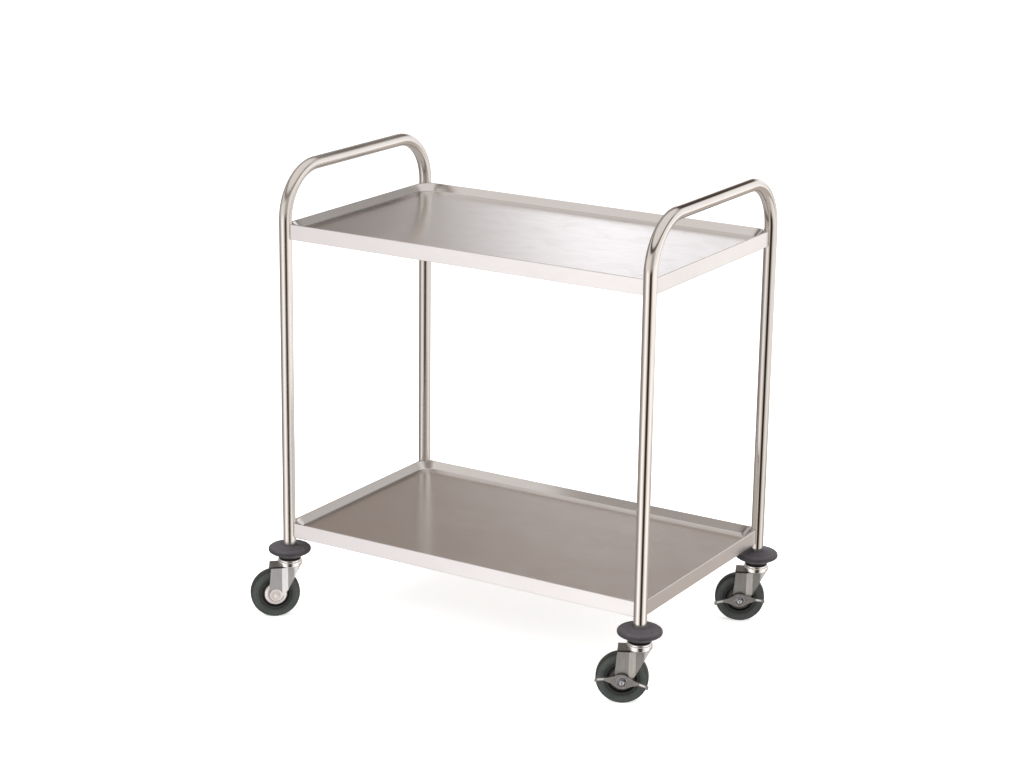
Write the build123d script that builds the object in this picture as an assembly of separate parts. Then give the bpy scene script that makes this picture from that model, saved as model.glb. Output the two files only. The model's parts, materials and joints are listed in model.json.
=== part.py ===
from build123d import *
import math
import os

# Instrument cart: two pressed trays bolted between two bent-tube end frames,
# with a round bumper and a swivel caster under each leg. All sizes in millimetres.
# Frame: +X right along the length, +Y towards the back, +Z up; origin on the floor, mid-cart.
# Each caster stands at its own heading and swivels about its own leg axis.

# ---------------------------------------------------------------- driving dimensions
FIT = 0.05               # radial clearance of close-fitting pieces
TOL = 1e-3               # for picking edges by height

TUBE_R = 12.7
TUBE_WALL = 1.2
LEG_X = 402.0            # leg axis from the middle, along the length
LEG_Y = 246.0            # leg axis from the middle, along the width
HANDLE_Z = 916.3         # centre line of the handle bar
BEND_R = 100.0           # centre-line radius of the handle corners
TUBE_END_Z = 126.6       # lower cut end of each leg

TRAY_L = 810.0
TRAY_W = 496.0
SHEET = 1.0              # tray sheet thickness
SKIRT_H = 30.5
RIM_LAND = 2.0           # narrow flat along the top of the rim
RIM_RUN = 13.0           # plan width of the bevelled inner wall
RIM_DROP = 14.0          # depth of the tray floor below the rim
BASIN_R = 38.0           # plan corner radius of the basin at the rim
NOTCH_R = 12.9           # concave corner that holds the leg
HEM_W = 12.0             # return flange along the bottom of the skirt
BOLT_DROP = 20.0         # tray bolt below the rim
RIM_Z = {"top": 812.0, "bottom": 198.0}

GUSSET_T = 2.5
GUSSET_H = 15.0
BOLT_R = 2.95            # tray bolt shank
INSERT_R = 5.0

WHEEL_R = 50.0
AXLE_Z = WHEEL_R
TRAIL = 30.5             # axle behind the swivel axis
AXLE_R = 4.0             # axle bolt shank
SLEEVE_R = 6.0
AXLE_HEX_R = 7.5         # corner radius of the axle bolt head and nut
FORK_IN = 18.5           # half the gap between the fork plates
FORK_T = 2.5
FORK_OUT = FORK_IN + FORK_T
CROWN_Z = 109.8          # top of the fork's crown
BOSS_Z = 118.5           # top of the raised ball race on the crown
BOSS_R = 24.5
BALL_R = 2.0
BALL_PITCH_R = 13.5
BALL_COUNT = 16
BALL_Z = 119.9
CAP_TOP = 122.6
PIN_R = 6.0              # kingpin inside the leg socket
SHANK_R = 5.0            # kingpin through the cap and fork
PIVOT_BORE_R = 5.06      # bores around the kingpin shank and the brake collar

# Leg axis x and y, then the direction in degrees from the leg towards the middle of the tray.
CORNERS = {
    "front_left": (-LEG_X, -LEG_Y, 45.0),
    "front_right": (LEG_X, -LEG_Y, 135.0),
    "back_right": (LEG_X, LEG_Y, 225.0),
    "back_left": (-LEG_X, LEG_Y, 315.0),
}
# Rest headings, degrees.
CASTER_YAW = {"front_left": 42.0, "front_right": 27.0, "back_right": 26.0, "back_left": 34.0}
# Only the right-hand casters have brakes: front pedal pressed, back pedal released.
PEDAL_TILT = {"front_right": 7.0, "back_right": -5.0}


# ---------------------------------------------------------------- helpers
def save(name, shapes):
    """One STEP file per named piece; a list is written as a group of separate solids."""
    if not isinstance(shapes, (list, tuple)):
        shapes = [shapes]
    solids = [solid for shape in shapes for solid in shape.solids()]
    out = solids[0] if len(solids) == 1 else Compound(children=solids)
    export_step(out, f"parts/{name}.step")


def cyl(r, z0, z1):
    return Pos(0, 0, z0) * Cylinder(r, z1 - z0, align=(Align.CENTER, Align.CENTER, Align.MIN))


def cyl_x(r, x0, x1):
    return Rot(0, 90, 0) * cyl(r, x0, x1)


def cyl_y(r, y0, y1):
    return Rot(-90, 0, 0) * cyl(r, y0, y1)


def polygon(points):
    return make_face(Polyline(*points, close=True))


def xz_face(points, y=0):
    """Upright face from (x, z) points."""
    return polygon([(x, y, z) for x, z in points])


def turned(points):
    """Solid of revolution about Y from (radius, y) points."""
    return revolve(polygon(points), axis=Axis.Y)


def mirrored(points):
    """The points, then their mirror images across the first axis in reverse order."""
    return points + [(a, -b) for a, b in reversed(points)]


def extrude_both(face, reach, way):
    back = tuple(-c for c in way)
    return extrude(face, amount=reach, dir=way) + extrude(face, amount=reach, dir=back)


def both_sides(shape):
    """A wheel piece and its twin on the other side."""
    return [shape, Rot(0, 0, 180) * shape]


def edges_at(shape, z):
    return [e for e in shape.edges() if abs(e.center().Z - z) < TOL]


def bolt_place(corner, rim_z):
    """Frame of a tray bolt: origin on the leg axis, +X towards the middle of the tray."""
    leg_x, leg_y, angle = corner
    return Location((leg_x, leg_y, rim_z - BOLT_DROP), (0, 0, angle))


# ---------------------------------------------------------------- end frames
def end_frame(x):
    bend_z = HANDLE_Z - BEND_R
    bar_y = LEG_Y - BEND_R
    s = math.sqrt(0.5)
    mid_y = LEG_Y - BEND_R * (1 - s)
    mid_z = bend_z + BEND_R * s
    path = Wire([
        Edge.make_line((x, -LEG_Y, TUBE_END_Z), (x, -LEG_Y, bend_z)),
        Edge.make_three_point_arc((x, -LEG_Y, bend_z), (x, -mid_y, mid_z), (x, -bar_y, HANDLE_Z)),
        Edge.make_line((x, -bar_y, HANDLE_Z), (x, bar_y, HANDLE_Z)),
        Edge.make_three_point_arc((x, bar_y, HANDLE_Z), (x, mid_y, mid_z), (x, LEG_Y, bend_z)),
        Edge.make_line((x, LEG_Y, bend_z), (x, LEG_Y, TUBE_END_Z)),
    ])
    start = Plane((x, -LEG_Y, TUBE_END_Z), x_dir=(1, 0, 0), z_dir=(0, 0, 1))
    outer = sweep(start * Circle(TUBE_R), path=path)
    inner = sweep(start * Circle(TUBE_R - TUBE_WALL), path=path)
    frame = outer - inner
    for corner in CORNERS.values():
        if corner[0] == x:
            for rim_z in RIM_Z.values():
                frame -= bolt_place(corner, rim_z) * cyl_x(INSERT_R + FIT, 6.0, 16.0)
    return frame


# ---------------------------------------------------------------- trays
def notched(inset, z):
    """Tray outline, pulled in by inset, with the four concave corners that hold the legs."""
    outline = Rectangle(TRAY_L - 2 * inset, TRAY_W - 2 * inset)
    for leg_x, leg_y, _ in CORNERS.values():
        outline -= Pos(leg_x, leg_y) * Circle(NOTCH_R + inset)
    return Pos(0, 0, z) * outline


def basin(inset_top, z_top, inset_bottom, z_bottom):
    """Solid filling a basin with sloping walls."""
    def section(inset, z):
        radius = BASIN_R - (inset - RIM_LAND)
        return Pos(0, 0, z) * RectangleRounded(TRAY_L - 2 * inset, TRAY_W - 2 * inset, radius)

    return loft([section(inset_top, z_top), section(inset_bottom, z_bottom)])


def on_basin_rim(edge, z):
    """Level edge around the mouth of the basin; the length range picks its corner arcs."""
    center = edge.center()
    level = abs(center.Z - z) < TOL and abs(edge.bounding_box().size.Z) < TOL
    on_end = abs(abs(center.X) - (TRAY_L / 2 - RIM_LAND)) < 0.05
    on_side = abs(abs(center.Y) - (TRAY_W / 2 - RIM_LAND)) < 0.05
    return level and (on_end or on_side or 50 < edge.length < 65)


def tray(z):
    skirt_z = z - SKIRT_H
    floor_z = z - RIM_DROP
    body = extrude(notched(0, skirt_z), amount=SKIRT_H)
    body = fillet(edges_at(body, z), 1.4)
    body = fillet(edges_at(body, skirt_z), 0.9)
    hollow = extrude(notched(SHEET, skirt_z + SHEET), amount=SKIRT_H - 2 * SHEET)
    hollow += extrude(notched(HEM_W, skirt_z), amount=SHEET + 0.5)
    # The skin is the outside of the basin, one sheet thickness from the pocket.
    slope = RIM_RUN / RIM_DROP
    skin_inset = RIM_LAND - SHEET * math.sqrt(1 + slope * slope)
    skin = basin(skin_inset, z, skin_inset + slope * (RIM_DROP + SHEET), floor_z - SHEET)
    skin = fillet(edges_at(skin, floor_z - SHEET), 5.0)
    pocket = basin(RIM_LAND, z, RIM_LAND + RIM_RUN, floor_z)
    pocket = fillet(edges_at(pocket, floor_z), 4.0)
    body -= hollow - skin
    body -= pocket
    body = fillet([e for e in body.edges() if on_basin_rim(e, z)], 0.5)
    for corner in CORNERS.values():
        body -= bolt_place(corner, z) * cyl_x(BOLT_R + 0.3, 8.0, NOTCH_R + SHEET + 1.0)
    return body


def stiffener(rim_z):
    """Hat channel under the tray floor, running along X."""
    sheet, half_w, depth, lip, half_l = 1.2, 35.0, 12.0, 16.0, 330.0
    top = rim_z - RIM_DROP - SHEET
    inner = half_w - sheet
    edge = half_w + lip
    # (y, height from the tray floor's underside)
    outline = [
        (-edge, 0), (-inner, 0), (-inner, -depth + sheet),
        (inner, -depth + sheet), (inner, 0), (edge, 0),
        (edge, -sheet), (half_w, -sheet), (half_w, -depth),
        (-half_w, -depth), (-half_w, -sheet), (-edge, -sheet),
    ]
    face = polygon([(0, y, top + dz) for y, dz in outline])
    return extrude_both(face, half_l, (1, 0, 0))


# ---------------------------------------------------------------- tray fastenings
# Drawn along +X from the leg axis.
def gusset():
    inner_r = NOTCH_R + SHEET
    ring = cyl(inner_r + GUSSET_T, -GUSSET_H / 2, GUSSET_H / 2) - cyl(inner_r, -GUSSET_H, GUSSET_H)
    wedge = polygon([(0, 0), (40, -26), (40, 26)])
    plate = ring & extrude(Pos(0, 0, -GUSSET_H) * wedge, amount=2 * GUSSET_H)
    plate -= cyl_x(BOLT_R + 0.25, 8, 30)
    return plate


def tray_bolt():
    seat = NOTCH_R + SHEET + GUSSET_T + FIT
    head = cyl_x(5.2, seat + 0.6, seat + 3.6)
    head = fillet(head.edges().sort_by(Axis.X)[-1], 1.6)
    flange = cyl_x(6.6, seat, seat + 0.9)
    hexagon = extrude(RegularPolygon(2.3, 6), amount=4.0)
    socket = Pos(seat + 1.6, 0, 0) * (Rot(0, 90, 0) * hexagon)
    return cyl_x(BOLT_R, 6.5, seat + 1.0) + flange + head - socket


def nut_insert():
    return cyl_x(INSERT_R, 5.0, 11.5) - cyl_x(BOLT_R + FIT, 4.0, 14.0)


# ---------------------------------------------------------------- leg end
BUMPER_TOP = 153.2
BUMPER_BOTTOM = 123.2
# (radius, z) down the outside of the bumper; a spline runs through them.
BUMPER_SKIN = [
    (14.2, BUMPER_TOP), (16.4, 151.3), (22.5, 149.7), (30.0, 148.4), (37.5, 147.2),
    (40.6, 146.0), (42.4, 143.8), (43.0, 141.0), (42.5, 138.7), (40.9, 136.9),
    (37.0, 134.6), (30.0, 130.9), (24.0, 127.2), (21.4, 125.2), (20.6, BUMPER_BOTTOM),
]


def bumper():
    skin = [(r, 0, z) for r, z in BUMPER_SKIN]
    bore_top = (TUBE_R + FIT, 0, BUMPER_TOP)
    bore_bottom = (TUBE_R + FIT, 0, BUMPER_BOTTOM)
    edges = [
        Edge.make_line(bore_top, skin[0]),
        Edge.make_spline([Vector(*p) for p in skin]),
        Edge.make_line(skin[-1], bore_bottom),
        Edge.make_line(bore_bottom, bore_top),
    ]
    return revolve(make_face(Wire(edges)), axis=Axis.Z)


def stem_socket():
    """Plug in the leg, with a flange against the cut end of the tube."""
    plug = cyl(TUBE_R - TUBE_WALL - FIT, TUBE_END_Z - 0.1, 160.0)
    plug += cyl(TUBE_R, TUBE_END_Z - 2.0, TUBE_END_Z)
    plug = chamfer(plug.edges().sort_by(Axis.Z)[-1], 1.2)
    return plug - cyl(PIN_R + FIT, 120.0, 152.0)


def kingpin():
    hexagon = extrude(Pos(0, 0, CAP_TOP) * RegularPolygon(11.5, 6), amount=2.0)
    pin = cyl(PIN_R, CAP_TOP, 148.0)
    pin = chamfer(pin.edges().sort_by(Axis.Z)[-1], 1.0)
    shank = cyl(SHANK_R, 114.0, CAP_TOP + 0.5)
    head = cyl(9.0, 111.9, 114.9)
    head = fillet(head.edges().sort_by(Axis.Z)[0], 1.0)
    return pin + hexagon + shank + head


def ball_groove():
    return Pos(0, 0, BALL_Z) * Torus(BALL_PITCH_R, BALL_R + 0.06)


def race_cap():
    cap = cyl(23.6, 118.9, CAP_TOP)
    cap = fillet(cap.edges().sort_by(Axis.Z)[-1], 2.4)
    cap -= cyl(16.9, 118.0, 120.6)
    cap -= ball_groove()
    cap -= cyl(SHANK_R + FIT, 100.0, 130.0)
    return cap


def swivel_balls():
    angles = [2 * math.pi * i / BALL_COUNT for i in range(BALL_COUNT)]
    return [
        Pos(BALL_PITCH_R * math.cos(a), BALL_PITCH_R * math.sin(a), BALL_Z) * Sphere(BALL_R)
        for a in angles
    ]


# ---------------------------------------------------------------- fork
# Swivel axis on Z, wheel towards -X, rounded nose towards +X.
FORK_END_R = 13.5        # rounded lower end at the axle

# (radius, z) of the raised ball race on the crown.
RACE_BOSS = [
    (0, CROWN_Z - 1.0), (BOSS_R - 0.8, CROWN_Z - 1.0), (BOSS_R, CROWN_Z + 0.2),
    (BOSS_R, BOSS_Z - 2.2), (BOSS_R - 0.7, BOSS_Z - 0.7), (BOSS_R - 2.2, BOSS_Z), (0, BOSS_Z),
]
# (x, z) side view: slanted wheel-side edge, lower end at the axle, raked and flared nose side.
FORK_SIDE = [
    (-39.8, 200), (-39.8, CROWN_Z + 0.5), (-43.6, 66), (-43.9, 57),
    (-TRAIL - FORK_END_R, AXLE_Z), (-TRAIL, AXLE_Z - 1), (-TRAIL + 12.7, AXLE_Z - 4.6),
    (-5.5, 59.0), (7.3, 83.0), (13.5, 95.0), (19.0, 103.6), (25.5, 109.6),
    (27.5, 111.0), (27.5, 200),
]


def fork_plan(inset, rear, z0, z1):
    """Plan shape extruded: flat side plates, pressed-in flanks, rounded nose."""
    side = [
        (-rear, FORK_OUT - inset, z0),
        (-18.0 - 0.2 * inset, FORK_OUT - inset, z0),
        (-5.5 - 0.2 * inset, 16.6 - inset, z0),
        (6.0, 16.4 - inset, z0),
    ]
    other = [(x, -y, z) for x, y, z in reversed(side)]
    edges = [Edge.make_line(a, b) for a, b in zip(side, side[1:])]
    edges.append(Edge.make_three_point_arc(side[-1], (21.5 - inset, 0, z0), other[0]))
    edges += [Edge.make_line(a, b) for a, b in zip(other, other[1:])]
    edges.append(Edge.make_line(other[-1], side[0]))
    return extrude(Face(Wire(edges)), amount=z1 - z0, dir=(0, 0, 1))


def fork():
    outer = fork_plan(0.0, 50.0, 30.0, CROWN_Z)
    # Round the crown all round except along its straight rear edge.
    outer = fillet([e for e in edges_at(outer, CROWN_Z) if e.center().X > -49.0], 2.8)
    outer += revolve(xz_face(RACE_BOSS), axis=Axis.Z)
    shell = outer - fork_plan(FORK_T, 56.0, 20.0, CROWN_Z - FORK_T)
    # The ball race is pressed up out of the crown, so it is hollow below.
    shell -= cyl(12.4, 100.0, BOSS_Z - 3.5)
    # Trim to the side view, keeping the axle end and the race.
    block = extrude_both(xz_face(FORK_SIDE), 60.0, (0, 1, 0))
    block += Pos(-TRAIL, 0, AXLE_Z) * cyl_y(FORK_END_R, -60, 60)
    block += cyl(BOSS_R + 1.0, CROWN_Z - 1.0, 130.0)
    shell = shell & block
    shell -= Pos(-TRAIL, 0, AXLE_Z) * cyl_y(AXLE_R + 0.15, -60, 60)
    shell -= cyl(PIVOT_BORE_R, 90.0, 130.0)
    shell -= ball_groove()
    return shell


# ---------------------------------------------------------------- wheel
# Turned about its own axle, local Y. The outlines are (radius, y).
TYRE_HALF = [
    (25.0, 8.0), (26.6, 9.6), (26.9, 11.8), (27.8, 12.6), (31.5, 13.0), (32.1, 12.5),
    (32.9, 12.5), (33.5, 13.0), (42.0, 13.0), (45.4, 12.6), (47.8, 11.4), (49.3, 9.4),
    (49.9, 7.0), (WHEEL_R, 3.0),
]
HUB_HALF = [
    (7.0, 7.9), (9.0, 7.9), (9.0, 14.6), (11.4, 14.6), (12.0, 14.0), (12.6, 4.2),
    (20.4, 3.0), (20.9, 7.4), (21.3, 7.9), (25.0, 7.9),
]
HUB_COVER = [
    (9.4, 15.0), (9.4, 16.3), (10.6, 16.7), (12.0, 16.5), (13.4, 15.5), (15.6, 15.3),
    (16.6, 14.9), (18.4, 14.7), (19.6, 14.2), (21.6, 13.6), (22.5, 12.4), (22.5, 9.0),
    (21.3, 8.6), (21.3, 11.6), (20.4, 12.6), (18.2, 13.4), (15.4, 13.9), (13.2, 14.2),
    (12.0, 14.7),
]


def wheel_bearings():
    return both_sides(cyl_y(8.98, 8.0, 15.6) - cyl_y(SLEEVE_R + FIT, 0, 30))


def axle_sleeve():
    return cyl_y(SLEEVE_R, -FORK_IN, FORK_IN) - cyl_y(AXLE_R + 0.1, -40, 40)


def axle_bolt(end_y):
    """Bolt with its head and washer on the +Y side and its shank reaching to end_y."""
    hexagon = Pos(0, 0, FORK_OUT + 1.2) * RegularPolygon(AXLE_HEX_R, 6)
    head = Rot(-90, 0, 0) * extrude(hexagon, amount=5.3)
    top = FORK_OUT + 6.5
    base = FORK_OUT + 1.0
    head = head & turned([(0, base), (9.2, base), (9.2, FORK_OUT + 4.4), (6.4, top), (0, top)])
    washer = cyl_y(8.2, FORK_OUT, FORK_OUT + 1.3)
    shank = cyl_y(AXLE_R, end_y, FORK_OUT + 2.0)
    return head + washer + shank


def axle_nut(seat_y, braked):
    """Domed nut on the -Y side, bearing at seat_y; a braked one has a collar for the pedal."""
    hexagon = extrude(Pos(0, 0, -seat_y) * RegularPolygon(AXLE_HEX_R, 6), amount=4.6)
    end_y = seat_y - 4.6
    trim = turned([(0, seat_y), (9.2, seat_y), (9.2, seat_y - 2.6), (6.6, end_y), (0, end_y)])
    nut = (Rot(90, 0, 0) * hexagon) & trim
    dome_y = seat_y - 4.0
    dome = Pos(0, dome_y, 0) * Sphere(5.6)
    dome -= Pos(0, dome_y + 20.0, 0) * Box(40, 40, 40)
    if braked:
        skirt = cyl_y(8.4, seat_y - 1.0, seat_y)
    else:
        skirt_y = seat_y - 1.8
        skirt = turned([(0, seat_y), (12.6, seat_y), (12.6, seat_y - 0.9),
                        (9.0, skirt_y), (0, skirt_y)])
    nut = nut + dome + skirt
    if braked:
        nut += cyl_y(5.0, seat_y - 0.5, -FORK_OUT)
    nut -= cyl_y(AXLE_R + 0.02, seat_y - 6.5, -FORK_OUT + 5)
    return nut


# ---------------------------------------------------------------- side brake
# Turned about the axle, local Y, outside the -Y fork plate.
CAM_IN_Y = -FORK_OUT - 0.3
CAM_T = 3.8
PEDAL_IN_Y = -FORK_OUT - 4.3
PEDAL_T = 1.8
PEDAL_OUT_Y = PEDAL_IN_Y - PEDAL_T
BRAKE_SEAT_Y = -FORK_OUT - 6.4

CAM_TEETH = 30
# (fraction of the tooth pitch, radius) of one tooth.
CAM_TOOTH = [(0.0, 14.9), (0.28, 16.4), (0.62, 16.4), (0.9, 14.9)]
# (x, z) along the upper edge of the pedal, from the middle to one wing.
PEDAL_EDGE = [(0, 14.0), (5.5, 13.2), (11.0, 10.6), (17.0, 7.4), (23.0, 5.2), (29.0, 3.4),
              (34.0, 2.4)]
# (x, y) of the outward-turned wing tip.
PEDAL_ARM = [
    (33.5, PEDAL_IN_Y), (33.5, PEDAL_OUT_Y), (43.0, PEDAL_OUT_Y - 4.2),
    (48.5, PEDAL_OUT_Y - 8.6), (49.6, PEDAL_OUT_Y - 7.2), (44.0, PEDAL_IN_Y - 4.0),
]


def brake_cam():
    outline = []
    for i in range(CAM_TEETH):
        for fraction, radius in CAM_TOOTH:
            angle = 2 * math.pi * (i + fraction) / CAM_TEETH
            outline.append((radius * math.cos(angle), radius * math.sin(angle)))
    cam = extrude(xz_face(outline, CAM_IN_Y), amount=CAM_T, dir=(0, -1, 0))
    return cam - cyl_y(PIVOT_BORE_R, -60, 0)


def brake_pedal():
    """Pressed plate with a diamond centre and two wings whose tips turn outwards."""
    upper = [(-x, z) for x, z in reversed(PEDAL_EDGE[1:])] + PEDAL_EDGE
    plate = extrude(xz_face(mirrored(upper), PEDAL_IN_Y), amount=PEDAL_T, dir=(0, -1, 0))
    for side in (1, -1):
        arm = polygon([(side * x, y, 0) for x, y in PEDAL_ARM])
        plate += extrude_both(arm, 2.1, (0, 0, 1))
        tab = Pos(side * 47.8, PEDAL_OUT_Y - 8.6, 0) * Box(5.6, 4.6, 6.4)
        plate += fillet(tab.edges().filter_by(Axis.Y), 1.6)
    # Raised ring around the bore, on a disc sunk in the plate.
    ring_y = PEDAL_OUT_Y - 1.4
    ring = turned([(8.9, PEDAL_OUT_Y), (10.4, PEDAL_OUT_Y), (9.8, ring_y), (8.9, ring_y)])
    plate += cyl_y(10.2, PEDAL_OUT_Y, PEDAL_OUT_Y + 0.4) + ring
    plate -= cyl_y(PIVOT_BORE_R, -60, 0)
    return plate


# ---------------------------------------------------------------- pieces in place
def save_caster(name):
    leg_x, leg_y, _ = CORNERS[name]
    leg = Location((leg_x, leg_y, 0))
    turn = Location((leg_x, leg_y, 0), (0, 0, CASTER_YAW[name]))
    axle = turn * Location((-TRAIL, 0, AXLE_Z))
    braked = name in PEDAL_TILT
    seat_y = BRAKE_SEAT_Y if braked else -FORK_OUT

    save(f"bumper_{name}", leg * bumper())
    save(f"kingpin_{name}", leg * kingpin())
    save(f"fork_{name}", turn * fork())
    save(f"swivel_balls_{name}", [turn * ball for ball in swivel_balls()])
    save(f"tyre_{name}", axle * turned(mirrored(TYRE_HALF)))
    save(f"wheel_hub_{name}", axle * turned(mirrored(HUB_HALF)))
    save(f"wheel_bearings_{name}", [axle * ring for ring in wheel_bearings()])
    save(f"hub_covers_{name}", [axle * cover for cover in both_sides(turned(HUB_COVER))])
    save(f"axle_sleeve_{name}", axle * axle_sleeve())
    save(f"axle_bolt_{name}", axle * axle_bolt(seat_y - 6.0))
    save(f"axle_nut_{name}", axle * axle_nut(seat_y, braked))
    if braked:
        tilted = axle * Location((0, 0, 0), (0, PEDAL_TILT[name], 0))
        save(f"brake_pedal_{name}", tilted * brake_pedal())
        save(f"brake_cam_{name}", tilted * brake_cam())


os.makedirs("parts", exist_ok=True)

save("left_end_frame", end_frame(-LEG_X))
save("right_end_frame", end_frame(LEG_X))

for label, rim_z in RIM_Z.items():
    save(f"{label}_tray", tray(rim_z))
    save(f"{label}_tray_stiffener", stiffener(rim_z))

bolt_places = [bolt_place(corner, z) for corner in CORNERS.values() for z in RIM_Z.values()]
save("corner_gussets", [place * gusset() for place in bolt_places])
save("tray_bolts", [place * tray_bolt() for place in bolt_places])
save("frame_nut_inserts", [place * nut_insert() for place in bolt_places])

for name in CORNERS:
    save_caster(name)

legs = [Location((leg_x, leg_y, 0)) for leg_x, leg_y, _ in CORNERS.values()]
save("stem_sockets", [leg * stem_socket() for leg in legs])
save("swivel_caps", [leg * race_cap() for leg in legs])
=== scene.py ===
"""A two-tray trolley on four swivel casters, with a bent tube frame at each end.

It stands on z = 0, centred on the origin. X runs from left to right, towards the two end
frames; the front is -Y. Shapes are worked out in millimetres and meshed in metres.
"""
import json
import math

import bmesh
import bpy
from mathutils import Matrix, Vector


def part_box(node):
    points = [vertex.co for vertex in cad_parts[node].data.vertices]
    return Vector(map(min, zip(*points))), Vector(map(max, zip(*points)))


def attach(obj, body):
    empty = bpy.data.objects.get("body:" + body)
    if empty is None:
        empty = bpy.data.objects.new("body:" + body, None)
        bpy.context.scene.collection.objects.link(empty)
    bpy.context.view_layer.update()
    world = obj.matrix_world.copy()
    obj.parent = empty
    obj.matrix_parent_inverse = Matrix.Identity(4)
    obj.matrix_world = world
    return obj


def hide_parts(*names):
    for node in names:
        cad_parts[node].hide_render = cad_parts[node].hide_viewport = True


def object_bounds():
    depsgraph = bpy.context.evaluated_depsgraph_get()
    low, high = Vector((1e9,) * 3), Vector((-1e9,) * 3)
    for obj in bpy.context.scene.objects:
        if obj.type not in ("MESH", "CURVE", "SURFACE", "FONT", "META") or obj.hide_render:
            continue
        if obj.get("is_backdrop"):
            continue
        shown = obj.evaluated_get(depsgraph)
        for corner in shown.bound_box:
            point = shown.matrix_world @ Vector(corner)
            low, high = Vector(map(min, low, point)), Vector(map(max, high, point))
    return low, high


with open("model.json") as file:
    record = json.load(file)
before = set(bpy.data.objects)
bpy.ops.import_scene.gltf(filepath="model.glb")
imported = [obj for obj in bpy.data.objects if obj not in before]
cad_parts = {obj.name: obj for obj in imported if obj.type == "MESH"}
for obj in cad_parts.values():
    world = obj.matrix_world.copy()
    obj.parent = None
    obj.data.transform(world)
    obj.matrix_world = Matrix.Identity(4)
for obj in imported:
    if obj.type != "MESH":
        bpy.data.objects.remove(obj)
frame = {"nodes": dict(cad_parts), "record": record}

MM = 0.001
TAU = 2 * math.pi
SCENE = bpy.context.scene
NODES = frame["nodes"]

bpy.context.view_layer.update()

# ------------------------------------------------------------------ sizes and places (mm)
low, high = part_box("right_end_frame")
TUBE_R = (high.x - low.x) / 2 / MM
LEG_X = (high.x + low.x) / 2 / MM
LEG_Y = high.y / MM - TUBE_R
HANDLE_Z = high.z / MM - TUBE_R
TUBE_END = low.z / MM
BEND_R = 100.0
TUBE_WALL = 1.2
TUBE_BORE = 14.0  # modelled depth of the open leg ends

low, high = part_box("top_tray")
TRAY_X, TRAY_Y = high.x / MM, high.y / MM  # half sizes
TOP_Z = high.z / MM
SKIRT = (high.z - low.z) / MM
LOW_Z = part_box("bottom_tray")[1].z / MM

TRAIL = 30.5  # from the swivel axis back to the axle
AXLE_Z = 50.0

# corner: (X side, Y side, caster yaw in degrees)
CORNERS = {
    "front_left": (-1, -1, 42.0),
    "front_right": (1, -1, 27.0),
    "back_right": (1, 1, 26.0),
    "back_left": (-1, 1, 34.0),
}


def leg_matrix(corner):
    side_x, side_y, _ = CORNERS[corner]
    return Matrix.Translation((side_x * LEG_X * MM, side_y * LEG_Y * MM, 0))


def axle_matrix(corner):
    yaw = Matrix.Rotation(math.radians(CORNERS[corner][2]), 4, "Z")
    return leg_matrix(corner) @ yaw @ Matrix.Translation((-TRAIL * MM, 0, AXLE_Z * MM))


# ------------------------------------------------------------------ mesh helpers
def add_object(name, data):
    made = bpy.data.objects.new(name, data)
    SCENE.collection.objects.link(made)
    return made


def skin(name, loops, sharp, ring=False, uv=None):
    """Mesh between closed loops of equal length, in mm; sharp is an edge angle in degrees.

    A ring joins its last loop to its first; otherwise both end loops are capped.
    """
    size, count = len(loops[0]), len(loops)
    verts = [tuple(value * MM for value in point) for loop in loops for point in loop]
    faces = []
    for i in range(count if ring else count - 1):
        here, there = i * size, (i + 1) % count * size
        for j in range(size):
            k = (j + 1) % size
            faces.append((here + j, here + k, there + k, there + j))
    if not ring:
        faces.append(tuple(reversed(range(size))))
        faces.append(tuple(range((count - 1) * size, count * size)))
    mesh = bpy.data.meshes.new(name)
    mesh.from_pydata(verts, [], faces)
    if uv:
        layer = mesh.uv_layers.new(name="sheet")
        for loop in mesh.loops:
            layer.data[loop.index].uv = uv[loop.vertex_index]
    mesh.validate()
    mesh.update()
    edit = bmesh.new()
    edit.from_mesh(mesh)
    bmesh.ops.recalc_face_normals(edit, faces=edit.faces)
    edit.to_mesh(mesh)
    edit.free()
    mesh.shade_smooth()
    mesh.set_sharp_from_angle(angle=math.radians(sharp))
    return mesh


def round_corners(points):
    """Closed outline from (a, b) or (a, b, radius); a corner with a radius becomes an arc."""
    outline = []
    count = len(points)
    for i, point in enumerate(points):
        corner = Vector(point[:2])
        back = Vector(points[i - 1][:2]) - corner
        ahead = Vector(points[(i + 1) % count][:2]) - corner
        back_length, ahead_length = back.length, ahead.length
        back.normalize()
        ahead.normalize()
        half = math.acos(max(-1, min(1, back.dot(ahead)))) / 2
        # A corner that is almost straight has no useful arc.
        if len(point) == 2 or half > math.radians(89.5):
            outline.append(point[:2])
            continue
        tangent = min(point[2] / math.tan(half), back_length * 0.49, ahead_length * 0.49)
        radius = tangent * math.tan(half)
        centre = corner + (back + ahead).normalized() * (radius / math.sin(half))
        start = corner + back * tangent - centre
        end = corner + ahead * tangent - centre
        first = math.atan2(start.y, start.x)
        last = math.atan2(end.y, end.x)
        sweep = (last - first + math.pi) % TAU - math.pi
        steps = max(2, int(abs(sweep) / math.radians(12)) + 1)
        for k in range(steps + 1):
            angle = first + sweep * k / steps
            outline.append((centre.x + radius * math.cos(angle),
                            centre.y + radius * math.sin(angle)))
    return outline


def turned(name, profile, segments, axis="Y", sharp=38):
    """Ring turned about the axis from a closed (radius, place along axis) profile."""
    loops = []
    for radius, along in round_corners(profile):
        loop = []
        for k in range(segments):
            angle = TAU * k / segments
            across, up = radius * math.cos(angle), radius * math.sin(angle)
            loop.append((across, along, -up) if axis == "Y" else (across, up, along))
        loops.append(loop)
    return skin(name, loops, sharp, ring=True)


def mirrored(half):
    """Profile completed with its mirror image on the other side of the wheel."""
    return half + [(radius, -y, *rest) for radius, y, *rest in reversed(half)]


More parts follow.
